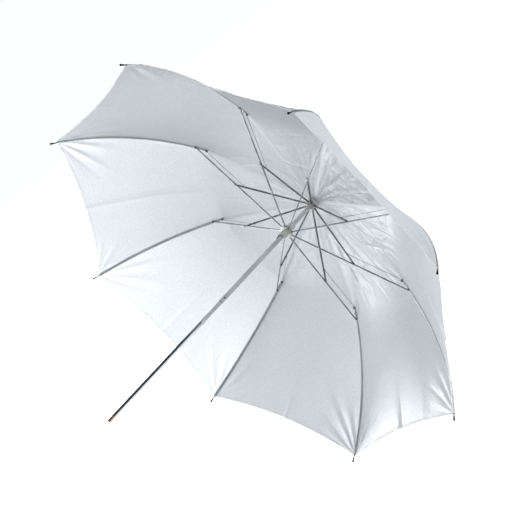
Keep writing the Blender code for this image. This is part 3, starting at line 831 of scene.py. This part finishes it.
def outer_bow(number, mats):
    """The outer rib as a smooth channel, with its round wire end and its cap."""
    angle = rib_angle(number)
    tail = [TAIL_PIN - TOP_RIB_WAY * TAIL_END, TAIL_PIN, (TAIL_PIN + ELBOW_PIN) / 2]
    shares = np.linspace(0, 1, 72)
    whole = np.concatenate([tail, bow_points(shares)])
    steps = np.concatenate([[0.0], np.cumsum(np.linalg.norm(np.diff(whole, axis=0), axis=1))])
    sheathed = whole[steps < steps[-1] - TIP_WIRE_LEN]
    bare = whole[steps > steps[-1] - TIP_WIRE_LEN * 1.6]
    channel = swept(*bow_frames(angle, sheathed), channel_section())
    wire = rounded_rod(*bow_frames(angle, bare), TIP_WIRE_R)
    end = turned(on_rib(angle, RIB_TIP), on_rib(angle, unit(whole[-1] - whole[-2])), TIP_CAP)
    points, faces = merged([channel, wire, end])
    obj = mesh_object(f"outer_bow_{number}", points, faces, mats["bow_steel"])
    obj.data.materials.append(mats["cap"])
    for face in obj.data.polygons[len(channel[1]):]:
        face.material_index = 1
    obj.data.set_sharp_from_angle(angle=math.radians(40))
    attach(obj, f"outer_rib_{number}")
    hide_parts(f"outer_rib_{number}")


def coil(centre, axis, radius, wire, turns, pitch):
    """A helix of wire round an axis, as (points, faces)."""
    first = unit(np.cross(axis, SHAFT_WAY + axis * 0.1))
    second = np.cross(axis, first)
    steps = np.linspace(0, turns, int(turns * 16) + 1)
    path, sides = [], []
    for t in steps:
        out = first * math.cos(t * math.tau) + second * math.sin(t * math.tau)
        path.append(centre + out * radius + axis * pitch * (t - turns / 2))
        sides.append(out)
    ups = np.tile(axis, (len(path), 1))
    return rounded_rod(np.array(path), np.array(sides), ups, wire, 8)


def tail_loop(number, mats):
    """The link wire's end, wound round the outer rib's tail."""
    angle = rib_angle(number)
    axis = sideways(angle)
    shape = coil(on_rib(angle, TAIL_PIN), axis, LOOP_R, LINK_WIRE_R, LINK_WIRE_TURNS,
                 LINK_WIRE_PITCH)
    obj = mesh_object(f"tail_loop_{number}", *shape, mats["joint"])
    obj.data.set_sharp_from_angle(angle=math.radians(50))
    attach(obj, f"outer_rib_{number}")


def rivet(centre, axis, radius, length):
    """A round bar across a joint with a domed head at each end."""
    outline = ((-1.0, 0.55), (-0.86, 0.9), (-0.72, 1.0), (-0.55, 1.0), (-0.5, 0.6),
               (0.5, 0.6), (0.55, 1.0), (0.72, 1.0), (0.86, 0.9), (1.0, 0.55))
    return turned(centre, axis, [(along * length / 2, share * radius) for along, share in outline])


def joint_pieces(number, mats):
    """Rivets at the elbow, at the knee and where the link wire meets the top rib."""
    angle = rib_angle(number)
    axis = sideways(angle)
    for name, point, x, body, radius, length in (
            ("elbow_rivet", ELBOW_PIN, 0.0011, f"stretcher_{number}", 0.0017, 0.0056),
            ("knee_rivet", KNEE_PIN, 0.0012, f"stretcher_{number}", 0.0018, 0.0050),
            ("wire_rivet", WIRE_PIN, -0.0006, f"top_rib_{number}", 0.0014, 0.0044)):
        obj = mesh_object(f"{name}_{number}", *rivet(on_rib(angle, point, x), axis, radius, length),
                          mats["joint"])
        obj.data.set_sharp_from_angle(angle=math.radians(35))
        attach(obj, body)


def thread_ties(number, mats):
    """Thread that ties the cloth to its rib, near the middle of the bow and at the tail."""
    angle = rib_angle(number)
    shapes = []
    shares = np.array((TIE_SHARE, TIE_SHARE + 0.004))
    places = [bow_points(shares)[0], TAIL_PIN + TOP_RIB_WAY * TIE_TAIL]
    ways = [unit(np.diff(bow_points(shares), axis=0)[0]), TOP_RIB_WAY]
    for place, way in zip(places, ways):
        normal = np.array((-way[1], way[0]))
        centre = on_rib(angle, place + normal * TIE_LIFT)
        shapes.append(coil(centre, on_rib(angle, way), LOOP_R, THREAD_R, THREAD_TURNS, THREAD_R * 2))
    obj = mesh_object(f"thread_tie_{number}", *merged(shapes), mats["thread"])
    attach(obj, f"outer_rib_{number}")


def refine(node, material, bevel):
    """A model's own node with its edges softened and a better material."""
    obj = frame["nodes"][node]
    mesh = obj.data
    if "custom_normal" in mesh.attributes:
        mesh.attributes.remove(mesh.attributes["custom_normal"])
    mesh.polygons.foreach_set("use_smooth", [True] * len(mesh.polygons))
    mesh.materials.clear()
    mesh.materials.append(material)
    weld = obj.modifiers.new("weld", "WELD")
    weld.merge_threshold = 0.00001
    edge = obj.modifiers.new("edges", "BEVEL")
    edge.width = bevel
    edge.segments = 2
    edge.limit_method = "ANGLE"
    edge.angle_limit = math.radians(34)
    edge.harden_normals = True


def refine_nodes(mats):
    slots = {row["node"]: row["material_slot"] for row in frame["record"]["subparts"]}
    bevels = {"plastic": 0.00035, "shaft": 0.00012, "brass": 0.0002}
    for node, slot in slots.items():
        if slot != "cloth" and not node.startswith("outer_rib"):
            refine(node, mats[slot], bevels.get(slot, 0.00015))


# ---- camera, lights and floor ------------------------------------------------------------------------
CAMERA_AT = Vector((1.5027, -1.1223, 1.8945))
CAMERA_AIM = Vector((0.1445, 0.3046, 0.1977))
CAMERA_ROLL = math.radians(-12.403)
LENS_MM = 106.12
FLOOR_Z = -2.3
FLOOR_HALF = 16.0
POOL_AT = (-1.9, 2.4, FLOOR_Z)
POOL_EDGE = (3.2, 6.5)           # the pool of light is full up to here, and has faded out by there
POOL_GLOW = (0.92, 0.27)         # inside and outside the pool
DARK_WAY = (-0.25, 0.45, 0.86)   # where the world gives least light
WORLD_GLOW = (0.262, 0.06)       # away from that direction, and towards it
WORLD_EDGE = (-0.30, 0.75)       # cosines between which the one becomes the other


def make_camera():
    data = bpy.data.cameras.new("camera")
    data.lens = LENS_MM
    data.sensor_width = 36.0
    obj = bpy.data.objects.new("camera", data)
    bpy.context.scene.collection.objects.link(obj)
    look = (CAMERA_AIM - CAMERA_AT).to_track_quat("-Z", "Y")
    obj.matrix_world = Matrix.Translation(CAMERA_AT) @ (
        look @ Quaternion((0, 0, 1), CAMERA_ROLL)).to_matrix().to_4x4()
    bpy.context.scene.camera = obj


def area_light(name, at, aim, size, watts):
    data = bpy.data.lights.new(name, "AREA")
    data.shape = "DISK"
    data.size = size
    data.energy = watts
    obj = bpy.data.objects.new(name, data)
    obj.location = at
    obj.rotation_mode = "QUATERNION"
    obj.rotation_quaternion = (Vector(aim) - Vector(at)).to_track_quat("-Z", "Y")
    bpy.context.scene.collection.objects.link(obj)


def make_floor():
    """A pale floor that glows, with a painted pool of light, where it glows brighter, on the part of it that lies
    behind the object.
    """
    mat, tree, shader = new_material("floor", (0.80, 0.80, 0.80), 0.9)
    place = tree.nodes.new("ShaderNodeNewGeometry")
    away = tree.nodes.new("ShaderNodeVectorMath")
    away.operation = "DISTANCE"
    away.inputs[1].default_value = POOL_AT
    tree.links.new(place.outputs["Position"], away.inputs[0])
    # painted light: the floor's own glow, strongest in the pool and weaker everywhere else
    glow = ranged(tree, away.outputs["Value"], *POOL_GLOW, *POOL_EDGE)
    shader.inputs["Emission Color"].default_value = (1, 1, 1, 1)
    tree.links.new(glow, shader.inputs["Emission Strength"])
    corners = [(x * FLOOR_HALF, y * FLOOR_HALF, FLOOR_Z) for x, y in ((-1, -1), (1, -1), (1, 1), (-1, 1))]
    mesh_object("floor", corners, [(0, 1, 2, 3)], mat, smooth=False)


def make_world():
    """Soft light from all round, and least from above on the crown's side."""
    world = bpy.data.worlds.new("studio")
    world.use_nodes = True
    tree = world.node_tree
    way = tree.nodes.new("ShaderNodeNewGeometry")
    part = tree.nodes.new("ShaderNodeVectorMath")
    part.operation = "DOT_PRODUCT"
    part.inputs[1].default_value = DARK_WAY
    tree.links.new(way.outputs["Position"], part.inputs[0])
    back = tree.nodes["Background"]
    back.inputs["Color"].default_value = (0.60, 0.82, 1.0, 1.0)
    tree.links.new(ranged(tree, part.outputs["Value"], *WORLD_GLOW, *WORLD_EDGE), back.inputs["Strength"])
    bpy.context.scene.world = world
    bpy.context.scene.view_settings.view_transform = "Standard"


def make_light():
    make_world()
    area_light("key", (-3.6, 0.72, -1.35), (0.0, 0.5, 0.0), 2.2, 240)
    area_light("low_left", (-1.80, -0.72, -1.40), (0.1, 0.5, 0.0), 1.3, 44)
    area_light("right", (3.4, 1.3, 0.1), (0.0, 0.45, 0.0), 2.8, 20)
    area_light("front", (-2.0, -1.5, 0.42), (0.0, 0.45, 0.0), 0.30, 6)


# ---- the scene ---------------------------------------------------------------------------------------
def make_scene():
    make_camera()
    make_light()
    make_floor()
    mats = make_materials()
    refine_nodes(mats)
    for number in range(1, RIBS + 1):
        outer_bow(number, mats)
        tail_loop(number, mats)
        joint_pieces(number, mats)
        thread_ties(number, mats)
    make_cloth(mats)


make_scene()
